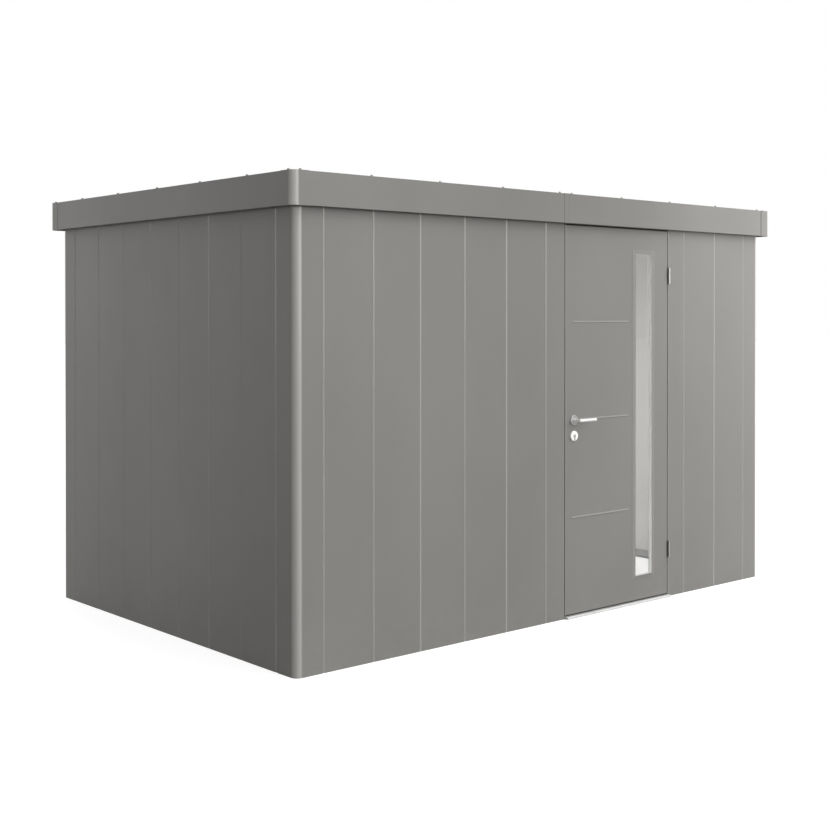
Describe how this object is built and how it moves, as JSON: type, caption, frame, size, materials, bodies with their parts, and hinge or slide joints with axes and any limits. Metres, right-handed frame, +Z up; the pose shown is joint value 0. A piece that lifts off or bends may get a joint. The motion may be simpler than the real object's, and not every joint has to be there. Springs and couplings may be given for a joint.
{
  "type": "metal tool shed",
  "caption": "Flat-roofed metal garden tool shed with beaded wall panels, rounded corners, a deep fascia and a glazed side-hung door with a lever handle.",
  "frame": {"origin": "centre of the shed's footprint at ground level", "axes": "+X to the right along the door front, +Y to the back, +Z up; the door front faces -Y"},
  "size_m": [3.482, 2.3675, 2.206],
  "materials": {
    "wall_paint": "satin metallic quartz-grey coating",
    "fascia_paint": "satin metallic quartz-grey coating",
    "door_paint": "satin metallic quartz-grey coating",
    "roof_metal": "zinc-coated sheet with a clear matt coating",
    "frame_metal": "mill-finish profile",
    "sill_metal": "satin anodised threshold",
    "bright_steel": "fine satin brushed stainless steel",
    "lock_metal": "satin nickel",
    "window_glass": "clear pane"
  },
  "bodies": {
    "shed": {"floor_frame": "frame_metal", "door_sill": "sill_metal", "corner_panel_front_left": "wall_paint", "corner_panel_front_right": "wall_paint", "corner_panel_back_right": "wall_paint", "corner_panel_back_left": "wall_paint", "front_panel_half": "wall_paint", "front_panel_left": "wall_paint", "front_panel_middle": "wall_paint", "front_panel_right": "wall_paint", "door_post_lock": "wall_paint", "door_post_hinge": "wall_paint", "door_head": "wall_paint", "left_wall_panels": "wall_paint", "right_wall_panels": "wall_paint", "back_wall_panels": "wall_paint", "top_rail_front": "frame_metal", "top_rail_left": "frame_metal", "top_rail_right": "frame_metal", "rear_gutter": "frame_metal", "roof_purlins": "frame_metal", "roof_sheets": "roof_metal", "roof_seam_caps": "roof_metal", "fascia_front_left": "fascia_paint", "fascia_front_right": "fascia_paint", "fascia_left": "fascia_paint", "fascia_right": "fascia_paint", "fascia_back": "fascia_paint", "fascia_corners": "fascia_paint", "fascia_joint_covers": "fascia_paint", "hinge_frame_halves": "bright_steel"},
    "door": {"door_outer_skin": "door_paint", "door_inner_skin": "door_paint", "window_trim_outer": "door_paint", "window_trim_inner": "door_paint", "window_pane": "window_glass", "hinge_door_halves": "bright_steel", "door_roses": "bright_steel", "lock_cylinder": "lock_metal", "lock_face": "lock_metal"},
    "lever": {"lever_outside": "bright_steel", "lever_inside": "bright_steel"}
  },
  "joints": [
    {"name": "door_hinge", "type": "hinge", "parent": "shed", "child": "door", "pos_m": [0.842, -1.137, 1.03], "axis": [0, 0, 1], "range_deg": [0, 110]},
    {"name": "lever_turn", "type": "hinge", "parent": "door", "child": "lever", "pos_m": [0.066, -1.13, 1.032], "axis": [0, 1, 0], "range_deg": [0, 40], "stiffness_Nm_per_rad": 1.2}
  ]
}
